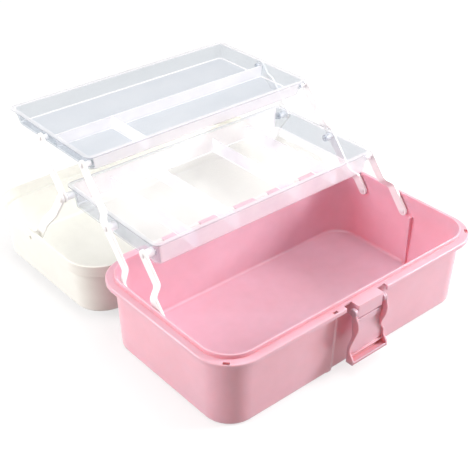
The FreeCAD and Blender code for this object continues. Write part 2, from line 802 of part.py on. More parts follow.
def bent_arm(start, degrees, length, steps, bores):
    """A flat right-hand bar from a (y, z) pivot, at an angle above the backward direction.

    steps lists (distance, plane) pairs: how far along the bar lies in which plane.
    bores lists (distance, radius) pairs.
    """
    half = arm_width / 2
    path = [(steps[0][1], -half)]
    path += [(plane, distance) for distance, plane in steps]
    path.append((steps[-1][1], length + half))
    corners = [FreeCAD.Vector(x, s, -half) for x, s in strip(path, arm_thick)]
    bar = Part.Face(Part.makePolygon(corners + corners[:1])).extrude(FreeCAD.Vector(0, 0, arm_width))
    ends = [rod(0, rim_length, (0, 0), half), rod(0, rim_length, (length, 0), half)]
    ends.append(block(0, rim_length, 0, length, -half, half))
    bar = bar.common(joined(ends))
    bar = bar.cut([rod(0, rim_length, (distance, 0), radius) for distance, radius in bores])
    bar.rotate(FreeCAD.Vector(0, 0, 0), FreeCAD.Vector(1, 0, 0), degrees)
    bar.translate(FreeCAD.Vector(0, *start))
    return bar


running_bore = pin_radius + running_fit
loose_bore = pin_radius + open_pivot_fit


def make_long_arm():
    """The right long arm, from the base over the lower tray's middle pivot to the upper tray."""
    first_bend = long_step_reach - arm_width / 2
    steps = [(first_bend, base_plane), (first_bend + long_step_run, middle_plane)]
    steps += [(arm_lower + upper_step_from, middle_plane), (arm_lower + upper_step_to, top_plane)]
    bores = [(0, running_bore), (arm_lower, running_bore), (arm_lower + arm_upper, running_bore)]
    return bent_arm(second_pivot, open_angle, arm_lower + arm_upper, steps, bores)


def make_short_arm():
    """The right short arm, from the base to the lower tray's front pivot."""
    steps = [(short_step_from, base_plane), (short_step_to, middle_plane)]
    return bent_arm(first_pivot, open_angle, arm_lower, steps, [(0, running_bore), (arm_lower, loose_bore)])


def make_rear_arm():
    """The right rear arm, from the lower tray's back pivot to the upper tray."""
    steps = [(rear_step_from, middle_plane), (rear_step_to, top_plane)]
    return bent_arm(lower_third, open_angle, arm_upper, steps, [(0, running_bore), (arm_upper, loose_bore)])


def make_lid_link():
    """The right link, from its pin on the lid to the lower tray's back pivot, where a button caps it."""
    rise = lower_third[1] - lid_pin_open[1]
    degrees = math.degrees(math.atan2(rise, lower_third[0] - lid_pin_open[0]))
    steps = [(link_step_from, lid_plane), (link_step_to, link_plane)]
    bar = bent_arm(lid_pin_open, degrees, link_length, steps, [(0, running_bore)])
    face = link_plane + arm_thick / 2
    button = rod(face - 0.5, face + link_button, lower_third, link_button_radius)
    return joined([bar, button])


def headed_pin(shaft_start, shaft_end, place, head_start):
    """A pivot pin along X: a shaft, and a head at one of its ends."""
    shaft = rod(shaft_start, shaft_end, place, pin_radius)
    return joined([shaft, rod(head_start, head_start + pin_head, place, pin_head_radius)])


def make_base_pivot_pins():
    """Four pins that carry the short and long arms in the tub's end walls."""
    head_start = base_plane - arm_thick / 2 - side_play - pin_head
    shaft_end = base_section(arm_pivot_z)[0] - pin_recess
    pins = []
    for pivot in (first_pivot, second_pivot):
        pins += both_sides(headed_pin(head_start, shaft_end, pivot, head_start))
    return pins


def tray_pins(section, place, plane):
    """The pins at one tray pivot, left and right, set in the bosses with their heads outside."""
    shaft_start = tray_bore_start(section, place) + pin_end_gap
    head_start = plane + arm_thick / 2 + side_play
    return both_sides(headed_pin(shaft_start, head_start + pin_head, place, head_start))


def make_lower_tray_pins():
    """Six pins of the lower tray. The back pair is plain and ends flush, under the lid links."""
    pins = tray_pins(lower_section, lower_first, middle_plane)
    pins += tray_pins(lower_section, lower_second, middle_plane)
    shaft_start = tray_bore_start(lower_section, lower_third) + pin_end_gap
    shaft_end = middle_plane + arm_thick / 2 + pin_flush
    return pins + both_sides(rod(shaft_start, shaft_end, lower_third, pin_radius))


def make_upper_tray_pins():
    """Four pins of the upper tray."""
    pins = tray_pins(upper_section, upper_first, top_plane)
    return pins + tray_pins(upper_section, upper_second, top_plane)


def make_lid_link_pins():
    """Two pins that carry the links on the lid."""
    head_start = lid_plane - arm_thick / 2 - side_play - pin_head
    return both_sides(headed_pin(head_start, flange_half_x - pin_recess, lid_pin_open, head_start))


def save(name, solids):
    """Write one sub-part. A node of several equal pieces is saved as a group of solids."""
    shape = solids[0] if len(solids) == 1 else Part.makeCompound(solids)
    shape.exportStep("parts/" + name + ".step")
    count = len(shape.Solids)
    print(f"{name}: {count} solid(s), {shape.Volume / 1000:.2f} cubic cm, valid {shape.isValid()}")


os.makedirs("parts", exist_ok=True)
save("base", [make_base()])
save("lid", [make_lid()])
save("handle", [make_handle()])
save("handle_pins", make_handle_pins())
save("latch", [make_latch()])
save("latch_pin", [make_latch_pin()])
save("hinge_pin", [make_hinge_pin()])
save("lower_tray", [make_lower_tray()])
save("upper_tray", [make_upper_tray()])
for arm_name, maker in (("long_arm", make_long_arm), ("short_arm", make_short_arm),
                        ("rear_arm", make_rear_arm), ("lid_link", make_lid_link)):
    right_arm = maker()
    save(arm_name + "_right", [right_arm])
    save(arm_name + "_left", [mirrored(right_arm)])
save("base_pivot_pins", make_base_pivot_pins())
save("lower_tray_pivot_pins", make_lower_tray_pins())
save("upper_tray_pivot_pins", make_upper_tray_pins())
save("lid_link_pins", make_lid_link_pins())
print("pivots y, z:", first_pivot, second_pivot, lower_first, lower_second, lower_third)
print("upper pivots:", upper_first, upper_second)
print("lid pin shut:", lid_pin_y, lid_pin_z, "open:", lid_pin_open)
print("hinge:", hinge_y, hinge_z, "latch:", latch_y, latch_z, "handle pivot shut:", handle_z)
print("link length:", link_length, "rims:", lower_rim, upper_rim, "nest depth:", nest_depth)
print("tray centres:", lower_centre, upper_centre, "tray halves:", tray_half_x, tray_half_y)
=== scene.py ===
# %% [markdown]
# A carry box for small tools stands open on a pale floor.
# Its tub is pink, its lid, arms and handle are white, and its two trays are clear.
# The CAD model already holds every part in its place, so this script keeps that model as a frame.
# It makes new surfaces only where the real plastic is rounder or finer than the CAD, and finishes the rest.
# A look through both trays crosses many clear faces, so rays may pass more of them than is usual.

# %% Load the frame
import math

import bpy
import numpy as np
from mathutils import Matrix, Vector


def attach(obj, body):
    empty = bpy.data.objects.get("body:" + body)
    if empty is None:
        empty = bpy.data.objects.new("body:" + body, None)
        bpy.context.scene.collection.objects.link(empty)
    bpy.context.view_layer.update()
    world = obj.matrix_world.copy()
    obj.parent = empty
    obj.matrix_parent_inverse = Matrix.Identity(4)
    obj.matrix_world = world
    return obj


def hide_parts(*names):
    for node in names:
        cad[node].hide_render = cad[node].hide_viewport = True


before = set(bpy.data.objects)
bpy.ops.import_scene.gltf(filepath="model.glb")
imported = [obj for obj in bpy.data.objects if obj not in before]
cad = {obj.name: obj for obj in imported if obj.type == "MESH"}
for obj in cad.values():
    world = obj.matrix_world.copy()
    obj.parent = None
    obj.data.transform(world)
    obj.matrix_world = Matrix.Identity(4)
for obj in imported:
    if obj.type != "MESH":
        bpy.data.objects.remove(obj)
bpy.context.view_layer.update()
scene = bpy.context.scene
scene.view_settings.view_transform = "Standard"
faces_seen_through = 40
scene.cycles.transparent_max_bounces = faces_seen_through
print("CAD nodes loaded:", len(cad))

# %% [markdown]
# All sizes below are millimetres, as in the CAD, and one factor turns them into Blender's metres.
# Every new surface is a table of points that numpy works out at once.
# Rows follow one direction of the surface, columns follow the other, and four neighbours make one face.
# Most pieces come in pairs, and the side 1 is the right one and -1 its mirror image on the left.

# %% From tables of points to a mesh
MM = 0.001
SIDES = (1, -1)


def grid_faces(rows, columns):
    """Four-sided faces of a table of points whose last column meets its first.

    The face at row r and column c joins (r, c), (r, c + 1), (r + 1, c + 1) and (r + 1, c).
    """
    row, column = np.meshgrid(np.arange(rows - 1), np.arange(columns), indexing="ij")
    after = (column + 1) % columns
    corners = (row * columns + column, row * columns + after,
               (row + 1) * columns + after, (row + 1) * columns + column)
    return np.stack(corners, axis=-1).reshape(-1, 4)


def signed_volume(points, faces):
    """Six times the volume inside the faces: the sum of a . (b x c) over fans of triangles."""
    total = 0.0
    for table in faces:
        a = points[table[:, 0]][:, None, :]
        b = points[table[:, 1:-1]]
        c = points[table[:, 2:]]
        total += (a * np.cross(b, c)).sum()
    return total


def closed(rings):
    """A closed solid through a stack of rings: side faces, and a lid on the first and last ring."""
    rows, columns = rings.shape[:2]
    points = rings.reshape(-1, 3)
    faces = [grid_faces(rows, columns), np.arange(columns)[None, ::-1],
             (rows - 1) * columns + np.arange(columns)[None]]
    if signed_volume(points, faces) < 0:
        faces = [table[:, ::-1] for table in faces]
    return points, faces


print("a closed ring stack of 3 by 8 has", len(grid_faces(3, 8)), "side faces and 2 lids")

# %% Put the solids into one Blender object
sharp_from = math.radians(40)


def moulding(name, solids, body, node, materials, places=None):
    """One object from several closed solids. It rides on a body and stands for a CAD node.

    places gives each face the number of its material, from its centre in millimetres and its normal.
    """
    points = np.vstack([part[0] for part in solids])
    starts = np.cumsum([0] + [len(part[0]) for part in solids[:-1]])
    tables = [table + start for part, start in zip(solids, starts) for table in part[1]]
    faces = [face for table in tables for face in table.tolist()]
    mesh = bpy.data.meshes.new(name)
    mesh.from_pydata((points * MM).tolist(), [], faces)
    for material in materials:
        mesh.materials.append(material)
    mesh.polygons.foreach_set("use_smooth", np.ones(len(faces), bool))
    if places is not None:
        centres = np.empty(len(faces) * 3)
        normals = np.empty(len(faces) * 3)
        mesh.polygons.foreach_get("center", centres)
        mesh.polygons.foreach_get("normal", normals)
        picked = places(centres.reshape(-1, 3) / MM, normals.reshape(-1, 3))
        mesh.polygons.foreach_set("material_index", picked.astype(np.int32))
    mesh.update()
    mesh.set_sharp_from_angle(angle=sharp_from)
    piece = bpy.data.objects.new(name, mesh)
    scene.collection.objects.link(piece)
    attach(piece, body)
    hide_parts(node)
    print(name, "has", len(solids), "solids and", len(faces), "faces")


# %% [markdown]
# Moulded plastic has no knife edges: the steel mould is cut with a small cutter, so each edge is an arc.
# The helpers below give arcs and rounded rectangles as points.
# Where a flat run meets an arc, one more point a quarter millimetre away holds the flat shading flat.

# %% Arcs and rounded outlines
HOLD = 0.25


def arc(centre, radius, start, end, count):
    """Points centre + radius (cos a, sin a), with a going from start to end degrees in equal steps."""
    angle = np.radians(np.linspace(start, end, count))
    return np.stack([centre[0] + radius * np.cos(angle), centre[1] + radius * np.sin(angle)], axis=1)


def held(profile):
    """The profile with a point added HOLD away from both ends of each run longer than 4 HOLD."""
    step = np.diff(profile, axis=0)
    length = np.linalg.norm(step, axis=1, keepdims=True)
    near = profile[:-1] + step / length * HOLD
    far = profile[1:] - step / length * HOLD
    long_run = length[:, 0] > 4 * HOLD
    keep = np.stack([np.ones(len(step), bool), long_run, long_run], axis=1)
    return np.vstack([np.stack([profile[:-1], near, far], axis=1)[keep], profile[-1:]])


def corner_columns(per_corner):
    """Signs, angle and side step of the columns round a rectangle's four corners.

    Each corner turns a quarter circle, with one more column HOLD before it and one HOLD after it.
    """
    turn = np.concatenate([[0.0], np.linspace(0, math.pi / 2, per_corner), [math.pi / 2]])
    side = np.concatenate([[-HOLD], np.zeros(per_corner), [HOLD]])
    quarter = np.repeat(np.arange(4), len(turn))
    angle = quarter * math.pi / 2 + np.tile(turn, 4)
    sign_a = np.where((quarter == 0) | (quarter == 3), 1.0, -1.0)
    sign_b = np.where(quarter < 2, 1.0, -1.0)
    return sign_a, sign_b, angle, np.tile(side, 4)


def round_rectangle(half_a, half_b, radius, per_corner):
    """Rounded rectangles, one a row: corner centre + radius (cos, sin) + side step (-sin, cos)."""
    sign_a, sign_b, angle, side = corner_columns(per_corner)
    half_a, half_b, radius = (np.asarray(value, float)[:, None] for value in (half_a, half_b, radius))
    room_a = np.clip((half_a - radius) / (2 * HOLD), 0, 1)
    room_b = np.clip((half_b - radius) / (2 * HOLD), 0, 1)
    a = sign_a * (half_a - radius) + radius * np.cos(angle) - side * room_a * np.sin(angle)
    b = sign_b * (half_b - radius) + radius * np.sin(angle) + side * room_b * np.cos(angle)
    return a, b


print("columns round an outline with 7 points a corner:", len(corner_columns(7)[0]))

# %% [markdown]
# The trays are thin shells of clear plastic with a flat rim turned outwards.
# A box with a Solidify modifier would give the wall, but not the rim, the draft and the soft floor edge.
# So the wall's cross-section is drawn once as a profile and carried round a rounded rectangle.
# The walls lean outwards, as they must to leave the mould, and the outline grows with height to match.

# %% The tray shell
tray_half_x, tray_half_y = 140.0, 73.45
rim_reach, rim_thick, tray_wall = 3.4, 1.3, 1.3
wall_corner, floor_corner, rim_corner = 5.0, 7.0, 7.0
floor_round, inner_round = 2.0, 1.0
neck_round, low_round, top_round, mouth_round = 0.6, 0.45, 0.55, 0.45
floor_ring = 1.5


def tray_profile(height):
    """The wall's cross-section as (outward, up) points, from the outer floor over the rim to the inside.

    Outward is measured from the wall's outer face and up from the top of the rim.
    """
    floor = -height
    runs = [[(-floor_round - floor_ring, floor)],
            arc((-floor_round, floor + floor_round), floor_round, -90, 0, 7),
            arc((neck_round, -rim_thick - neck_round), neck_round, 180, 90, 4),
            arc((rim_reach - low_round, -rim_thick + low_round), low_round, -90, 0, 4),
            arc((rim_reach - top_round, -top_round), top_round, 0, 90, 4),
            arc((-tray_wall + mouth_round, -mouth_round), mouth_round, 90, 180, 4),
            arc((-tray_wall - inner_round, floor + tray_wall + inner_round), inner_round, 0, -90, 5),
            [(-tray_wall - inner_round - floor_ring, floor + tray_wall)]]
    return held(np.vstack(runs))


def wall_sizes(outward, up, height, taper_x, taper_y):
    """Half length, half width and corner radius of a tray at a depth below the rim."""
    share = -up / height
    half_x = tray_half_x - rim_reach - taper_x * share + outward
    half_y = tray_half_y - rim_reach - taper_y * share + outward
    inside = wall_corner + (floor_corner - wall_corner) * share + outward
    outside = wall_corner + (rim_corner - wall_corner) * outward / rim_reach
    return half_x, half_y, np.where(outward > 0, outside, inside)


def tray_shell(tray):
    """The profile carried round the tray: one closed shell with a floor inside and out."""
    outward, up = tray_profile(tray["height"]).T
    sizes = wall_sizes(outward, up, tray["height"], tray["taper_x"], tray["taper_y"])
    x, y = round_rectangle(*sizes, 9)
    z = np.broadcast_to(up[:, None], x.shape)
    return closed(np.stack([x, y + tray["centre_y"], z + tray["rim_z"]], axis=-1))


lower = {"height": 24.5, "taper_x": 1.8, "taper_y": 1.8, "centre_y": 102.167, "rim_z": 125.870}
upper = {"height": 17.5, "taper_x": 3.0, "taper_y": 3.6, "centre_y": 202.249, "rim_z": 171.411}
print("profile points:", len(tray_profile(lower["height"])), "points in a shell:", len(tray_shell(lower)[0]))

# %% [markdown]
# The dividers are moulded in one piece with the tray.
# Each one is a thin blade with a round top and a small flare at its foot, as melted plastic leaves it.
# The blade's section is carried from wall to wall, and each of its points stops on the leaning wall.

# %% The dividers
blade_half, blade_flare = 0.6, 0.8
lower["blade_drop"], upper["blade_drop"] = 7.81, 3.0


def blade_section(height):
    """The blade's outline as (across, up) points: flared foot, straight side, half-round top."""
    foot = arc((blade_half + blade_flare, blade_flare), blade_flare, 270, 180, 5)
    top_radius = blade_half - 0.05
    top = arc((0, height - top_radius), top_radius, 0, 180, 9)
    return held(np.vstack([foot, top, foot[::-1] * (-1, 1)]))


def divider(tray, place, along, end=None):
    """A blade across a tray, with its top blade_drop below the rim.

    along is 1 for a run in y and 0 for a run in x. The blade ends on the wall, or before it at end.
    It reaches into_wall and into_floor deep, so that no gap shows.
    """
    into_wall, into_floor = 0.04, 0.03
    floor = tray["rim_z"] - tray["height"] + tray_wall
    across, up = blade_section(tray["height"] - tray_wall - tray["blade_drop"]).T
    depth = up - tray["height"] + tray_wall
    sizes = wall_sizes(-tray_wall, depth, tray["height"], tray["taper_x"], tray["taper_y"])
    half = sizes[along] + into_wall
    centre = tray["centre_y"] if along else 0.0
    low = centre - half
    high = centre + half if end is None else np.full(len(half), end)
    share = np.array([0, 0.002, 0.998, 1])[:, None]
    run = low + (high - low) * share
    side = np.broadcast_to(place + across, run.shape)
    level = np.broadcast_to(floor - into_floor + up, run.shape)
    rings = (side, run, level) if along else (run, side, level)
    return closed(np.stack(rings, axis=-1))


lower_blades = [divider(lower, x, 1) for x in (-90.0, -40.5, 40.5, 90.0)]
long_blade_y, short_blade_x = 196.8, -68.0
upper_blades = [divider(upper, long_blade_y, 0), divider(upper, short_blade_x, 1, end=long_blade_y)]
print("dividers:", len(lower_blades), "and", len(upper_blades))

# %% [markdown]
# Round bosses on the end walls hold the arms off the tray.
# A boss is a profile turned about its own axis, like work on a lathe.
# Its first ring lies on the tray's wall, also where the boss reaches over the rounded corner.

# %% The bosses
def turned(centre, profile, side, first_x=None):
    """A solid of revolution about an X line: y and z are centre + radius (cos, sin), x from the profile.

    first_x, a function of y and z, bends the first ring onto a wall.
    """
    angle = np.linspace(0, 2 * math.pi, 28, endpoint=False)
    along, radius = np.asarray(profile, float).T
    y = centre[0] + radius[:, None] * np.cos(angle)
    z = centre[1] + radius[:, None] * np.sin(angle)
    x = np.repeat(along[:, None], len(angle), axis=1)
    if first_x is not None:
        x[0] = first_x(y[0], z[0])
    return closed(np.stack([x * side, y, z], axis=-1))


def boss(tray, centre, face, radius, side):
    """A round boss with a blind hole for its pin, standing on a tray's end wall.

    face is how far out its flat end lies. The first ring goes sunk deep into the wall's outside.
    """
    sunk, edge, hole, chamfer = 0.15, 0.5, 1.85, 0.2

    def on_wall(y, z):
        half_x, half_y, corner = wall_sizes(np.zeros(len(y)), z - tray["rim_z"], tray["height"],
                                            tray["taper_x"], tray["taper_y"])
        into = np.clip(np.abs(y - tray["centre_y"]) - half_y + corner, 0, corner * 0.93)
        return half_x - corner + np.sqrt(corner ** 2 - into ** 2) - sunk

    wall_x = on_wall(np.array([centre[0]]), np.array([centre[1]]))[0]
    profile = [[(wall_x + 0.3, radius)], arc((face - edge, radius - edge), edge, 90, 0, 4),
               [(face, hole + 0.3), (face - chamfer, hole), (wall_x + 0.7, hole)]]
    return turned(centre, held(np.vstack(profile)), side, on_wall)


lower_pivots = [(38.817, 115.970), (95.817, 115.970), (168.717, 115.970)]
upper_pivots = [(135.254, 163.811), (208.154, 163.811)]
lower_face, lower_radius = 144.2, 4.0
upper_face, upper_radius = 140.3, 2.6
lower_bosses = [boss(lower, place, lower_face, lower_radius, side)
                for place in lower_pivots for side in SIDES]
upper_bosses = [boss(upper, place, upper_face, upper_radius, side)
                for place in upper_pivots for side in SIDES]
print("bosses:", len(lower_bosses) + len(upper_bosses))

# %% [markdown]
# The finishes come next, because each piece takes its material as it is made.
# Moulded plastic looks plain from afar, but the eye sees five things up close.
# The colour drifts a little where the melt flowed, and the surface ripples like very fine orange peel.
# Its gloss is patchy, and every edge is round and gets a painted highlight, a lighter line in its colour.
# An Ambient Occlusion node finds narrow gaps and deepens the colour there: painted shade for light that
# bounces between the walls.
# Textures read Object coordinates, so a pattern has the same size in millimetres on every part.

# %% Small helpers for material nodes
def colour(red, green, blue):
    """A colour read off the screen, 0 to 255, as the linear values that Blender's sockets take."""
    value = np.array([red, green, blue]) / 255
    linear = np.where(value <= 0.04045, value / 12.92, ((value + 0.055) / 1.055) ** 2.4)
    return (*linear.tolist(), 1.0)


def grey(level):
    """A linear grey as a colour for a socket."""
    return (level, level, level, 1.0)


def add_node(tree, kind, links=None, values=None, **settings):
    """A node with settings, socket values and incoming links, each by name or number."""
    node = tree.nodes.new(kind)
    for name, value in settings.items():
        setattr(node, name, value)
    for socket, value in (values or {}).items():
        node.inputs[socket].default_value = value
    for socket, source in (links or {}).items():
        tree.links.new(source, node.inputs[socket])
    return node


def scaled(tree, source, low, high, start=0.0, end=1.0):
    """A Map Range node's result: low to high spread over start to end."""
    values = {"From Min": low, "From Max": high, "To Min": start, "To Max": end}
    return add_node(tree, "ShaderNodeMapRange", {"Value": source}, values).outputs["Result"]


def noise(tree, where, scale, detail=2.0, rough=0.5):
    """A Noise Texture's value, near 0.5 on average, with about scale bumps to the metre."""
    values = {"Scale": scale, "Detail": detail, "Roughness": rough}
    return add_node(tree, "ShaderNodeTexNoise", {"Vector": where}, values).outputs["Fac"]


def blended(tree, share, first, second):
    """A Mix node between two colours, each a link or a fixed colour."""
    node = add_node(tree, "ShaderNodeMix", data_type="RGBA")
    tree.links.new(share, node.inputs[0])
    for socket, value in ((6, first), (7, second)):
        if isinstance(value, tuple):
            node.inputs[socket].default_value = value
        else:
            tree.links.new(value, node.inputs[socket])
    return node.outputs[2]


print("mid grey 188 on the screen is linear", round(colour(188, 188, 188)[0], 3))

# %% Opaque moulded plastic
def edge_share(tree, radius):
    """The rounded normal, and how near a point is to a sharp edge.

    Nearness is 1 minus the dot of the true and the rounded normal, with 0.02 to 0.30 spread over 0 to 1.
    """
    soft = add_node(tree, "ShaderNodeBevel", values={"Radius": radius}, samples=6).outputs["Normal"]
    sharp = add_node(tree, "ShaderNodeNewGeometry").outputs["True Normal"]
    dot = add_node(tree, "ShaderNodeVectorMath", {0: soft, 1: sharp}, operation="DOT_PRODUCT")
    turned_by = add_node(tree, "ShaderNodeMath", {1: dot.outputs["Value"]}, {0: 1.0}, operation="SUBTRACT")
    return soft, scaled(tree, turned_by.outputs[0], 0.02, 0.30)


def moulded_plastic(name, deep, pale, edge_highlight, painted_gap_shade, gloss, peel, edge=0.0006, coat=0.25, depth=0.0):
    """Dyed plastic: colour drift, painted shade in gaps, patchy gloss, orange peel, and softened edges with a
    painted highlight.

    The colour drifts between deep and pale. The edge colour is a painted highlight along every edge.
    The gap colour is painted shade in narrow gaps: a deeper colour for light that bounces between the walls
    before it leaves.
    gloss is the lowest and highest roughness, and peel the height of the ripple in millimetres.
    edge is the radius of the softened edges in metres, and coat the weight of the glossy skin.
    depth is the share of the light that wanders inside the plastic, red light furthest.
    """
    material = bpy.data.materials.new(name)
    material.use_nodes = True
    tree = material.node_tree
    shader = tree.nodes["Principled BSDF"]
    where = add_node(tree, "ShaderNodeTexCoord").outputs["Object"]
    flow = noise(tree, where, 11.0, 4.0, 0.55)
    cloud = noise(tree, where, 85.0, 3.0, 0.6)
    speck = noise(tree, where, 2400.0, 1.0)
    drift = blended(tree, scaled(tree, flow, 0.36, 0.66), deep, pale)
    brighter = scaled(tree, cloud, 0.3, 0.7, 0.985, 1.015)
    cloudy = add_node(tree, "ShaderNodeHueSaturation", {"Color": drift, "Value": brighter})
    # Painted shade: where the AO node finds a narrow gap, the colour turns to the deeper gap colour.
    open_sky = add_node(tree, "ShaderNodeAmbientOcclusion", values={"Distance": 0.012}, samples=6,
                        only_local=True)
    gap_shade_share = scaled(tree, open_sky.outputs["AO"], 0.20, 0.66, 1.0, 0.0)
    base = blended(tree, gap_shade_share, cloudy.outputs[0], painted_gap_shade)
    soft, near_edge = edge_share(tree, edge)
    # Painted highlight: near every edge the colour turns lighter, in patches.
    highlight_share = add_node(tree, "ShaderNodeMath", {0: near_edge, 1: scaled(tree, cloud, 0.25, 0.7, 0.25, 0.7)},
                   operation="MULTIPLY").outputs[0]
    tree.links.new(blended(tree, highlight_share, base, edge_highlight), shader.inputs["Base Color"])
    patchy = scaled(tree, cloud, 0.3, 0.72, gloss[0], gloss[1])
    grain = scaled(tree, speck, 0.3, 0.7, -0.02, 0.02)
    rough = add_node(tree, "ShaderNodeMath", {0: patchy, 1: grain}, operation="ADD").outputs[0]
    tree.links.new(rough, shader.inputs["Roughness"])
    ripple = noise(tree, where, 620.0, 2.0, 0.5)
    wave = noise(tree, where, 34.0, 2.0, 0.5)
    slow = add_node(tree, "ShaderNodeBump", {"Height": wave, "Normal": soft},
                    {"Strength": 0.5, "Distance": peel * 4 * MM})
    fine = add_node(tree, "ShaderNodeBump", {"Height": ripple, "Normal": slow.outputs[0]},
                    {"Strength": 0.5, "Distance": peel * MM})
    tree.links.new(fine.outputs[0], shader.inputs["Normal"])
    shader.inputs["IOR"].default_value = 1.49
    shader.inputs["Coat Weight"].default_value = coat
    shader.inputs["Coat Roughness"].default_value = 0.16
    shader.inputs["Subsurface Weight"].default_value = depth
    shader.inputs["Subsurface Radius"].default_value = (1.0, 0.25, 0.22)
    shader.inputs["Subsurface Scale"].default_value = 0.010
    return material


# The last two colours of each plastic are painted: a highlight along the edges and shade in the gaps.
pink = moulded_plastic("pink_moulding", deep=colour(229, 177, 191), pale=colour(235, 186, 201),
                       edge_highlight=colour(255, 222, 230), painted_gap_shade=colour(228, 128, 132),
                       gloss=(0.31, 0.40), peel=0.012, coat=0.4, depth=0.30)
white = moulded_plastic("white_moulding", deep=colour(241, 241, 233), pale=colour(247, 247, 240),
                        edge_highlight=colour(255, 255, 252), painted_gap_shade=colour(236, 236, 224),
                        gloss=(0.32, 0.42), peel=0.012)
arm_white = moulded_plastic("arm_moulding", deep=colour(250, 250, 249), pale=colour(254, 254, 253),
                            edge_highlight=colour(255, 255, 255), painted_gap_shade=colour(246, 246, 244),
                            gloss=(0.31, 0.38), peel=0.010, edge=0.0004, coat=0.35)
pin_white = moulded_plastic("pin_moulding", deep=colour(236, 236, 238), pale=colour(244, 244, 245),
                            edge_highlight=colour(252, 252, 252), painted_gap_shade=colour(226, 226, 226),
                            gloss=(0.32, 0.42), peel=0.010, edge=0.0003)
print("moulded plastics:", pink.name, white.name, arm_white.name, pin_white.name)

# %% [markdown]
# The clear trays are the hardest finish.
# Real clear plastic bends light, but a wall of one millimetre hardly shifts what is behind it.
# So a see-through surface is mixed with a milky, glossy one, and the milky share grows at a slant.
# Light that falls on real milky plastic is mostly passed on, so lamps see less of the milk, and a second,
# untinted see-through shader takes a part of the tinted one's place. That keeps the trays' shadows light.
# The polished end walls, and the upper tray's back wall, get painted shade: a smoky, darker copy of the same
# clear plastic, while the front wall and the dividers look like thin milk. The upper tray's floor gets the
# same painted shade, and the lower one, over the white lid, is nearly clear.

# %% Clear plastic
def clear_plastic(name, tint, milk, face, slant, gloss=(0.31, 0.40)):
    """Clear plastic: see-through mixed with a milky gloss, whose share goes from face to slant."""
    material = bpy.data.materials.new(name)
    material.use_nodes = True
    tree = material.node_tree
    shader = tree.nodes["Principled BSDF"]
    where = add_node(tree, "ShaderNodeTexCoord").outputs["Object"]
    haze = noise(tree, where, 26.0, 4.0, 0.6)
    streak_place = add_node(tree, "ShaderNodeMapping", {"Vector": where}, {"Scale": (9.0, 160.0, 160.0)})
    streak = noise(tree, streak_place.outputs[0], 1.0, 3.0, 0.6)
    milky = blended(tree, scaled(tree, haze, 0.3, 0.7), milk, colour(252, 253, 255))
    tree.links.new(milky, shader.inputs["Base Color"])
    tree.links.new(scaled(tree, streak, 0.3, 0.7, gloss[0], gloss[1]), shader.inputs["Roughness"])
    shader.inputs["IOR"].default_value = 1.49
    wave = noise(tree, where, 45.0, 2.0, 0.5)
    dent = add_node(tree, "ShaderNodeBump", {"Height": wave}, {"Strength": 0.3, "Distance": 0.03 * MM})
    tree.links.new(dent.outputs[0], shader.inputs["Normal"])
    for_lamps = add_node(tree, "ShaderNodeLightPath").outputs["Is Shadow Ray"]
    tinted = add_node(tree, "ShaderNodeBsdfTransparent", values={"Color": tint})
    untinted = add_node(tree, "ShaderNodeBsdfTransparent", values={"Color": grey(1.0)})
    through = add_node(tree, "ShaderNodeMixShader", {0: scaled(tree, for_lamps, 0.0, 1.0, 0.0, 0.35),
                                                     1: tinted.outputs[0], 2: untinted.outputs[0]})
    facing = add_node(tree, "ShaderNodeLayerWeight", values={"Blend": 0.30}).outputs["Facing"]
    share = scaled(tree, facing, 0.0, 1.0, face, slant)
    varied = scaled(tree, haze, 0.3, 0.7, -0.012, 0.012)
    total = add_node(tree, "ShaderNodeMath", {0: share, 1: varied}, operation="ADD", use_clamp=True)
    kept = scaled(tree, for_lamps, 0.0, 1.0, 1.0, 0.12)
    milky_share = add_node(tree, "ShaderNodeMath", {0: total.outputs[0], 1: kept}, operation="MULTIPLY")
    both = add_node(tree, "ShaderNodeMixShader",
                    {0: milky_share.outputs[0], 1: through.outputs[0], 2: shader.outputs[0]})
    tree.links.new(both.outputs[0], tree.nodes["Material Output"].inputs["Surface"])
    return material


def clear_finish(name, tint, milk, face, slant, **more):
    """Clear plastic from a linear tint and a milk colour read off the screen."""
    return clear_plastic(name, (*tint, 1.0), colour(*milk), face, slant, **more)


clear_wall = clear_finish("clear_wall", (0.99, 0.988, 0.995), (250, 250, 253), 0.28, 0.58)
# Painted highlight: the rim finish and, below, the bright-line finish are whiter where light would leave the
# plastic.
rim_highlight = clear_finish("rim_highlight", (0.97, 0.97, 0.98), (254, 254, 255), 0.08, 0.95, gloss=(0.10, 0.18))
# Painted shade: the underside finish and, below, the dark rim-line finish draw dark lines.
underside_shade = clear_finish("underside_shade", (0.78, 0.80, 0.83), (190, 195, 203), 0.08, 0.30)
# Painted shade: the smoky wall and the upper floor are darker copies of the same clear plastic.
shaded_wall = clear_finish("shaded_wall", (0.825, 0.848, 0.868), (214, 220, 226), 0.06, 0.26)
shaded_upper_floor = clear_finish("shaded_upper_floor", (0.825, 0.848, 0.878), (214, 220, 228), 0.05, 0.22)
lower_wall = clear_finish("lower_wall", (0.965, 0.963, 0.972), (243, 239, 247), 0.28, 0.55)
lower_floor = clear_finish("lower_floor", (0.965, 0.962, 0.972), (238, 237, 241), 0.08, 0.30)
painted_bright_line = clear_finish("painted_bright_line", (0.98, 0.98, 0.99), (254, 254, 255), 0.50, 0.90)
rim_shade_line = clear_finish("rim_shade_line", (0.52, 0.55, 0.59), (150, 156, 166), 0.35, 0.60)
print("clear plastics:", clear_wall.name, rim_highlight.name, underside_shade.name, shaded_wall.name,
      shaded_upper_floor.name, lower_wall.name, lower_floor.name, painted_bright_line.name, rim_shade_line.name)
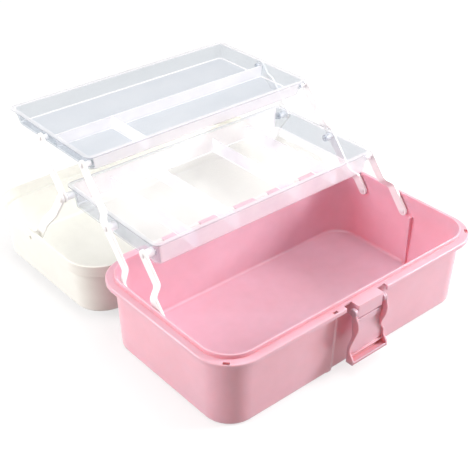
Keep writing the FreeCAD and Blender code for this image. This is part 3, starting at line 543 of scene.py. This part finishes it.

# %% [markdown]
# Now the trays can be put together, and each face gets the finish of its place.
# Divider tops, bosses and the small rounds at the floor's edge get a painted highlight, a whiter finish for
# light that runs inside the wall and leaves where the surface turns, and the rim's top gets one too. The
# rim's underside and outer edge get painted shade, a darker grey finish: together they draw the thin grey and
# white lines that make a clear tray readable.

# %% The two trays
def tray_places(tray, shaded_back):
    """The finish of each face.

    0 milky wall, 1 rim (painted highlight), 2 wall with painted shade, 3 rim underside (painted shade), 4
    floor (painted shade in the upper tray), 5 painted bright line, 6 painted dark rim line.
    """
    to_rim_edge, below_rim, wall_zone, blade_zone = 0.6, 0.1, 3.0, 0.5

    def places(centres, normals):
        depth = tray["rim_z"] - centres[:, 2]
        behind = centres[:, 1] - tray["centre_y"]
        beside = np.abs(centres[:, 0])
        up = normals[:, 2]
        rim = depth < rim_thick + below_rim
        outer = (beside > tray_half_x - to_rim_edge) | (np.abs(behind) > tray_half_y - to_rim_edge)
        # Painted shade: the rim's outer edge gets the dark rim line.
        painted_dark_line = rim & outer & (np.abs(up) < 0.6) & (normals[:, 1] > -0.6)
        blade_top = (np.abs(depth - tray["blade_drop"]) < blade_zone) & (up > 0.35)
        at_floor = depth > tray["height"] - tray_wall - inner_round - 0.1
        floor_edge = at_floor & (up > 0.12) & (up < 0.9)
        floor = (np.abs(up) > 0.9) & (depth > tray["height"] - wall_zone)
        back_wall = (behind > tray_half_y - rim_reach - tray["taper_y"] - wall_zone) & shaded_back
        end_wall = beside > tray_half_x - rim_reach - tray["taper_x"] - wall_zone
        wall_face = tray_half_x - rim_reach - tray["taper_x"] * depth / tray["height"]
        on_boss = (beside > wall_face + 0.2) & ~rim
        tests = [painted_dark_line, rim & (up < -0.3), rim, on_boss | blade_top | floor_edge, floor,
                 back_wall | end_wall]
        return np.select(tests, [6, 3, 1, 5, 4, 2], 0)

    return places


rim_and_ends = [rim_highlight, shaded_wall, underside_shade]
moulding("clear_lower_tray", [tray_shell(lower)] + lower_blades + lower_bosses,
         "lower_tray", "lower_tray",
         [lower_wall] + rim_and_ends + [lower_floor, painted_bright_line, rim_shade_line],
         tray_places(lower, shaded_back=False))
moulding("clear_upper_tray", [tray_shell(upper)] + upper_blades + upper_bosses,
         "upper_tray", "upper_tray",
         [clear_wall] + rim_and_ends + [shaded_upper_floor, painted_bright_line, rim_shade_line],
         tray_places(upper, shaded_back=True))

# %% [markdown]
# The arms are flat bars with round ends that step sideways from one layer to the next.
# A bent plate of boxes would show hard creases, but the real steps are smooth bends.
# So the bar is a path with a rounded section: the path is a broken line averaged over a short window,
# which turns each corner into a curve, and the width shrinks like a half circle at both ends.

# %% Bars along a path
def averaged(at, knots, values, window):
    """A broken line through (knot, value) points, averaged over a window each side of every place."""
    shifts = np.linspace(-window, window, 15)
    return np.interp(at[:, None] + shifts, knots, values).mean(axis=1)


def bar(middle, across, through, wide, thick, edge, per_corner):
    """A closed bar: middle + q across + h through, with (q, h) round a rounded rectangle.

    wide and thick are its half sizes at each point of the middle line, and edge rounds its corners.
    """
    radius = np.minimum(edge, 0.999 * np.minimum(wide, thick))
    q, h = round_rectangle(wide, thick, radius, per_corner)
    return closed(middle[:, None] + q[..., None] * across[:, None] + h[..., None] * through[:, None])


def end_stations(reach):
    """Distances from a round end's tip, close together where the outline turns fastest."""
    return reach * (1 - np.cos(np.radians(np.linspace(4, 90, 10))))


arm_half, arm_half_thick, arm_edge = 5.0, 1.5, 0.8
bend_reach, bend_window = 3.0, 2.4


def arm(start, degrees, length, knots, planes, side):
    """A flat arm from a (y, z) pivot. knots and planes say how far along it lies in which plane."""
    tip = end_stations(arm_half)
    bends = np.concatenate([np.linspace(knot - bend_reach, knot + bend_reach, 9) for knot in knots[1:-1]])
    s = np.unique(np.concatenate([-arm_half + tip, bends, length + arm_half - tip]).round(4))
    s = s[(s > -arm_half) & (s < length + arm_half)]
    x = averaged(s, knots, planes, bend_window)
    slope = np.gradient(x, s)
    size = np.sqrt(1 + slope ** 2)
    from_tip = np.minimum(s + arm_half, length + arm_half - s)
    to_round = np.clip(arm_half - from_tip, 0, arm_half)
    wide = np.sqrt(arm_half ** 2 - to_round ** 2)
    lip = np.clip(arm_edge - from_tip, 0, arm_edge)
    thick = arm_half_thick - arm_edge + np.sqrt(arm_edge ** 2 - lip ** 2)
    turn = math.radians(degrees)
    forward = np.array([0, math.cos(turn), math.sin(turn)])
    upward = np.array([0, -math.sin(turn), math.cos(turn)])
    outward = np.array([side, 0, 0])
    middle = np.array([0, *start]) + s[:, None] * forward + x[:, None] * outward
    through = (outward - slope[:, None] * forward) / size[:, None]
    return bar(middle, np.tile(upward, (len(s), 1)), through, wide, thick, arm_edge, 5)


print("stations on a round end:", len(end_stations(arm_half)))

# %% The eight arms and links
open_angle = 50.5
base_first, base_second, lid_pivot = (-4.436, 63.5), (52.564, 63.5), (207.898, 59.8)
base_plane, middle_plane, top_plane, link_plane, lid_plane = 154.99, 146.0, 142.1, 149.6, 156.0
back_pivot = lower_pivots[2]
link_rise = math.degrees(math.atan2(back_pivot[1] - lid_pivot[1], back_pivot[0] - lid_pivot[0]))
arms = {
    "long_arm": {"body": "long_arms", "start": base_second, "degrees": open_angle, "length": 130.0,
                 "knots": (-9, 16, 26, 76, 82, 140),
                 "planes": (base_plane, base_plane, middle_plane, middle_plane, top_plane, top_plane)},
    "short_arm": {"body": "short_arms", "start": base_first, "degrees": open_angle, "length": 68.0,
                  "knots": (-9, 30, 38, 80), "planes": (base_plane, base_plane, middle_plane, middle_plane)},
    "rear_arm": {"body": "rear_arms", "start": back_pivot, "degrees": open_angle, "length": 62.0,
                 "knots": (-9, 42, 48, 80), "planes": (middle_plane, middle_plane, top_plane, top_plane)},
    "lid_link": {"body": "lid_links", "start": lid_pivot, "degrees": link_rise, "length": 68.49,
                 "knots": (-9, 26, 40, 80), "planes": (lid_plane, lid_plane, link_plane, link_plane)},
}
button = np.vstack([[(link_plane + 1.0, 3.6)], arc((link_plane + 1.7, 2.8), 0.8, 90, 20, 6),
                    [(link_plane + 2.5, 1.2), (link_plane + 2.5, 0.2)]])
for kind, row in arms.items():
    for side, hand in zip(SIDES, ("right", "left")):
        solids = [arm(row["start"], row["degrees"], row["length"], row["knots"], row["planes"], side)]
        if kind == "lid_link":
            solids.append(turned(back_pivot, button, side))
        moulding("smooth_" + kind + "_" + hand, solids, row["body"], kind + "_" + hand,
                 [arm_white])

# %% [markdown]
# The latch is a small channel: a waisted plate between two side walls that stand outwards.
# The side walls are deep beside the pin, nearly vanish at the waist and grow again into the hook.
# It is drawn from its outlines: half width and wall depth are broken lines over the distance below the pin,
# averaged so that they turn into curves, and each wall is a bar whose section changes along them.

# %% The latch's side walls
latch_y, latch_z = -98.45, 69.75
eye_radius, plate_half = 4.0, 1.25
plate_front, plate_back = latch_y - plate_half, latch_y + plate_half
latch_end, hook_depth = 54.5, 5.85
hook_tip = plate_front - hook_depth
side_wall, latch_window = 2.0, 2.5
width_knots, widths = (-4, 4, 15, 24, 31, 37, 60), (21.0, 21.0, 19.4, 18.0, 19.0, 23.5, 23.5)
depth_knots = (-4, 3, 9, 17, 25, 31, 43, 49, 60)
depths = (2.0, 3.5, 6.0, 5.6, 2.6, 1.1, 1.2, hook_depth, hook_depth)
along_x, along_y, along_z = np.eye(3)


def latch_wall(side):
    """One side wall: depth from plate to rim along y, thickness along x, closed round the pin on top.

    v is the distance below the pin. Above the pin the depth follows the circle sqrt(radius^2 - v^2).
    Below it the wall leaves the eye in straight lines, over 9 mm in front and 6 mm behind.
    """
    v = np.unique(np.concatenate([-eye_radius + end_stations(eye_radius), np.linspace(0.5, latch_end, 60)]))
    outer = averaged(v, width_knots, widths, latch_window)
    round_eye = np.sqrt(np.clip(eye_radius ** 2 - np.clip(v, -eye_radius, 0) ** 2, 0.01, eye_radius ** 2))
    leaving = latch_y - eye_radius * np.clip(1 - v / 9, 0, 1)
    rim = plate_front - averaged(v, depth_knots, depths, 2)
    front = np.where(v < 0, latch_y - round_eye, np.minimum(leaving, rim))
    front = np.maximum(front, hook_tip)
    back = np.where(v < 0, latch_y + round_eye, np.maximum(plate_back, latch_y + eye_radius * (1 - v / 6)))
    middle = np.stack([side * (outer - side_wall / 2), (front + back) / 2, latch_z - v], axis=1)
    across = np.tile(along_y, (len(v), 1))
    through = np.tile(side * along_x, (len(v), 1))
    return bar(middle, across, through, (back - front) / 2, np.full(len(v), side_wall / 2), 0.6, 4)


print("latch side walls run", latch_end, "mm below the pin")

# %% The latch's plate, bars and eyes
def level_bar(half_x, front, back, top, bottom, edge):
    """A straight bar along x between two depths and two distances below the pin."""
    x = np.array([-half_x, -half_x + 0.3, half_x - 0.3, half_x])
    shrink = np.array([edge * 0.6, 0, 0, edge * 0.6])
    middle = np.stack([x, np.full(4, (front + back) / 2), np.full(4, latch_z - (top + bottom) / 2)], axis=1)
    across, through = np.tile(along_y, (4, 1)), np.tile(along_z, (4, 1))
    return bar(middle, across, through, (back - front) / 2 - shrink, (bottom - top) / 2 - shrink, edge, 4)


def latch_plate(top, half_thick=0.75):
    """The plate between the side walls, following the same waist."""
    v = np.linspace(top, latch_end - 0.2, 56)
    outer = averaged(v, width_knots, widths, latch_window) - side_wall / 2
    middle = np.stack([np.zeros(len(v)), np.full(len(v), plate_back - half_thick), latch_z - v], axis=1)
    across, through = np.tile(along_x, (len(v), 1)), np.tile(along_y, (len(v), 1))
    return bar(middle, across, through, outer, np.full(len(v), half_thick), 0.3, 3)


half_end = widths[-1]
hook_half = half_end - 0.6
latch_bars = {
    "top bar": (16.6, plate_front - 0.3, plate_back, 9.2, 15.2, 0.5),
    "raised line": (half_end - 1.6, plate_front - 1.0, plate_back, 47.2, 48.3, 0.4),
    "hook": (hook_half, hook_tip, plate_back, 52.4, latch_end, 0.6),
    "hook lip": (hook_half, hook_tip, hook_tip + 1.3, 51.2, latch_end - 0.3, 0.5),
}
eye = [(16.85, 0.3), (16.85, 3.5), (17.25, 3.9), (20.5, 3.9), (20.9, 3.5), (20.9, 1.5), (20.75, 1.3),
       (20.2, 1.3)]
latch_solids = [latch_plate(top=9.3), latch_wall(1), latch_wall(-1)]
latch_solids += [level_bar(*row) for row in latch_bars.values()]
latch_solids += [turned((latch_y, latch_z), eye, side) for side in SIDES]
moulding("pink_latch", latch_solids, "latch", "latch", [pink])

# %% [markdown]
# The pins that the arms turn on are short rivets. Seen close up their heads are domed, not flat.
# Each one is turned on its axis like the bosses: a shaft, a step out to the head, and a quarter ellipse.
# The heads of the tray pins face outwards, and those of the base and the lid face into the box.
# The far ends of these inner ones sit a little deep in their holes, so the outside shows small dark dots.

# %% The pivot pins
pin_radius, head_radius, head_thick = 1.8, 2.6, 1.0
pin_edge, head_edge, start_radius = 0.25, 0.15, 0.3


def rivet(centre, shaft_end, head_base, side):
    """A pin from shaft_end to head_base, with a domed head that points away from the shaft.

    The dome is head_base + thickness (0.35 + 0.65 sin t) along and head radius cos t across.
    """
    away = 1 if head_base > shaft_end else -1
    dome = np.radians(np.linspace(0, 86, 8))
    head = np.stack([head_base + away * head_thick * (0.35 + 0.65 * np.sin(dome)),
                     head_radius * np.cos(dome)], axis=1)
    shaft = [(shaft_end, start_radius), (shaft_end, pin_radius - pin_edge),
             (shaft_end + pin_edge * away, pin_radius), (head_base, pin_radius),
             (head_base, head_radius - head_edge), (head_base + head_edge * away, head_radius)]
    return turned(centre, np.vstack([shaft, head]), side)


def plain_pin(centre, start, end, side):
    """A pin with no head, with its outer end chamfered."""
    profile = [(start, start_radius), (start, pin_radius), (end - 0.3, pin_radius), (end, pin_radius - 0.3),
               (end, start_radius)]
    return turned(centre, profile, side)


def rivets(name, node, body, centres, shaft_end, head_base, more=()):
    """One body's rivets on both sides, as one piece that stands for the node of the same pins."""
    solids = [rivet(place, shaft_end, head_base, side) for place in centres for side in SIDES]
    moulding(name, solids + list(more), body, node, [pin_white])


plain_pins = [plain_pin(back_pivot, 136.7, 147.7, side) for side in SIDES]
rivets("rivets_lower_tray", "lower_tray_pivot_pins", "lower_tray", lower_pivots[:2], 136.7, 147.8, plain_pins)
rivets("rivets_upper_tray", "upper_tray_pivot_pins", "upper_tray", upper_pivots, 136.3, 143.9)
rivets("rivets_base", "base_pivot_pins", "base", (base_first, base_second), 156.8, 153.2)
rivets("rivets_lid", "lid_link_pins", "lid", [lid_pivot], 165.0, 154.2)

# %% [markdown]
# The tub, the lid, the handle and the metal pins keep their CAD shapes, which already have their fillets.
# Their materials go into the slots that the CAD meshes bring along.
# The wire pins are drawn steel: fine grooves run along the wire, so the bump is stretched that way.

# %% Drawn steel
def drawn_steel(name):
    """Steel wire: a metal shader with grooves stretched along X and a slightly uneven grey."""
    material = bpy.data.materials.new(name)
    material.use_nodes = True
    tree = material.node_tree
    shader = tree.nodes["Principled BSDF"]
    where = add_node(tree, "ShaderNodeTexCoord").outputs["Object"]
    along = add_node(tree, "ShaderNodeMapping", {"Vector": where}, {"Scale": (40.0, 3000.0, 3000.0)})
    groove = noise(tree, along.outputs[0], 1.0, 3.0, 0.6)
    shade = blended(tree, scaled(tree, groove, 0.3, 0.7), colour(168, 169, 172), colour(196, 197, 200))
    tree.links.new(shade, shader.inputs["Base Color"])
    shader.inputs["Metallic"].default_value = 1.0
    tree.links.new(scaled(tree, groove, 0.3, 0.7, 0.30, 0.42), shader.inputs["Roughness"])
    dent = add_node(tree, "ShaderNodeBump", {"Height": groove}, {"Strength": 0.4, "Distance": 0.02 * MM})
    tree.links.new(dent.outputs[0], shader.inputs["Normal"])
    return material


steel = drawn_steel("drawn_steel")
finishes = {"base": pink, "lid": white, "handle": white, "handle_pins": steel, "hinge_pin": steel,
            "latch_pin": steel}
for name, node in cad.items():
    node.data.materials.clear()
    node.data.materials.append(finishes.get(name, arm_white))
print("finished CAD nodes:", ", ".join(finishes))

# %% [markdown]
# The floor is a plain pale sheet. A studio floor that is lit to pure white would flood the box with light.
# So it answers the camera, mirrors and clear plastic with its own paleness, which still takes the shadow,
# while other light sees a greyer sheet and bounces back only a little.
# Far from the lamps the paleness grows, so that the sheet has no grey horizon.

# %% Floor
floor_half, floor_level = 6.0, -0.2 * MM
floor_mesh = bpy.data.meshes.new("floor")
corner_signs = ((-1, -1), (1, -1), (1, 1), (-1, 1))
floor_corners = [(x * floor_half, y * floor_half, floor_level) for x, y in corner_signs]
floor_mesh.from_pydata(floor_corners, [], [(0, 1, 2, 3)])
floor = bpy.data.objects.new("floor", floor_mesh)
scene.collection.objects.link(floor)


def seen_share(tree):
    """1 for rays from the camera, a mirror or clear plastic, and 0 for all other light."""
    path = add_node(tree, "ShaderNodeLightPath").outputs
    pair = add_node(tree, "ShaderNodeMath", {0: path["Is Camera Ray"], 1: path["Is Glossy Ray"]},
                    operation="MAXIMUM")
    return add_node(tree, "ShaderNodeMath", {0: pair.outputs[0], 1: path["Is Transmission Ray"]},
                    operation="MAXIMUM").outputs[0]


def floor_paper():
    """The sheet's finish: a glow and a pale diffuse for the eye, and a dim diffuse for all other light."""
    material = bpy.data.materials.new("floor_paper")
    material.use_nodes = True
    tree = material.node_tree
    tree.nodes.remove(tree.nodes["Principled BSDF"])
    dim = add_node(tree, "ShaderNodeBsdfDiffuse", values={"Color": (0.42, 0.41, 0.41, 1)})
    where = add_node(tree, "ShaderNodeTexCoord").outputs["Object"]
    distance = add_node(tree, "ShaderNodeVectorMath", {0: where}, operation="LENGTH").outputs["Value"]
    glow = add_node(tree, "ShaderNodeEmission", {"Strength": scaled(tree, distance, 0.8, 2.6, 0.66, 1.0)},
                    {"Color": grey(1.0)})
    catch = add_node(tree, "ShaderNodeBsdfDiffuse", values={"Color": grey(0.36)})
    pale = add_node(tree, "ShaderNodeAddShader", {0: glow.outputs[0], 1: catch.outputs[0]})
    both = add_node(tree, "ShaderNodeMixShader", {0: seen_share(tree), 1: dim.outputs[0], 2: pale.outputs[0]})
    tree.links.new(both.outputs[0], tree.nodes["Material Output"].inputs["Surface"])
    return material


floor_mesh.materials.append(floor_paper())
print("floor spans", 2 * floor_half, "m")

# %% [markdown]
# The light is a plain studio: one softbox to the right in front, one to the left behind and one above.
# No lamp stands in front on the left, and the room there is darker and a little warm.
# That draws the tub's round front corner as a soft dark band between two lighter walls.
# The surrounding white is only for the eye: the camera sees it at full strength, the object gets less.

# %% Light
world = bpy.data.worlds.new("studio")
scene.world = world
world.use_nodes = True
sky = world.node_tree
front_left, warm_dark, plain_pale = (-0.62, -0.78, 0.0), (0.60, 0.28, 0.22, 1), (1, 0.95, 0.91, 1)
direction = add_node(sky, "ShaderNodeTexCoord").outputs["Generated"]
towards = add_node(sky, "ShaderNodeVectorMath", {0: direction}, {1: front_left}, operation="DOT_PRODUCT")
room = blended(sky, scaled(sky, towards.outputs["Value"], 0.1, 0.85), plain_pale, warm_dark)
dim_sky = sky.nodes["Background"]
sky.links.new(room, dim_sky.inputs["Color"])
dim_sky.inputs["Strength"].default_value = 0.39
white_sky = add_node(sky, "ShaderNodeBackground", values={"Color": grey(1.0), "Strength": 1.0})
sky_mix = add_node(sky, "ShaderNodeMixShader",
                   {0: seen_share(sky), 1: dim_sky.outputs[0], 2: white_sky.outputs[0]})
sky.links.new(sky_mix.outputs[0], sky.nodes["World Output"].inputs["Surface"])


def softbox(name, place, target, size, power):
    """A rectangular area lamp at a place, facing a target, in metres and watts."""
    lamp = bpy.data.lights.new(name, "AREA")
    lamp.shape = "RECTANGLE"
    lamp.size, lamp.size_y = size
    lamp.energy = power
    holder = bpy.data.objects.new(name, lamp)
    scene.collection.objects.link(holder)
    holder.location = place
    holder.rotation_mode = "QUATERNION"
    holder.rotation_quaternion = (Vector(target) - Vector(place)).to_track_quat("-Z", "Y")
    print(name, "at", place, power, "W")


softbox("front_right_box", (1.35, -0.86, 0.72), (0, 0, 0.06), (0.6, 0.6), 31)
softbox("left_back_box", (-1.3, 0.75, 0.6), (0, 0.1, 0.05), (0.9, 0.7), 19.5)
softbox("top_box", (0.05, -0.30, 1.6), (0, 0.05, 0.05), (1.1, 1.1), 11.2)

# %% [markdown]
# The camera was fitted to the photograph: the tub's rim and foot, and the corners of both trays, gave
# its direction, distance and lens. It looks down from the front left, with a very slight roll.

# %% Camera
picture_size = 470
focal_pixels = 947.1
azimuth, elevation, roll = math.radians(-40.63), math.radians(32.71), math.radians(0.21)
distance = 0.78285
target = Vector((-0.10486, -0.03643, 0.15658))
back = Vector((math.sin(azimuth) * math.cos(elevation), -math.cos(azimuth) * math.cos(elevation),
               math.sin(elevation)))
right = (-back).cross(Vector((0, 0, 1))).normalized()
up = right.cross(-back)
rolled_right = right * math.cos(roll) + up * math.sin(roll)
rolled_up = up * math.cos(roll) - right * math.sin(roll)
pose = Matrix((rolled_right, rolled_up, back)).transposed().to_4x4()
pose.translation = target + back * distance
lens = bpy.data.cameras.new("camera")
lens.sensor_width = 36
lens.lens = focal_pixels / picture_size * lens.sensor_width
camera = bpy.data.objects.new("camera", lens)
scene.collection.objects.link(camera)
camera.matrix_world = pose
scene.camera = camera
print("lens", round(lens.lens, 2), "mm")
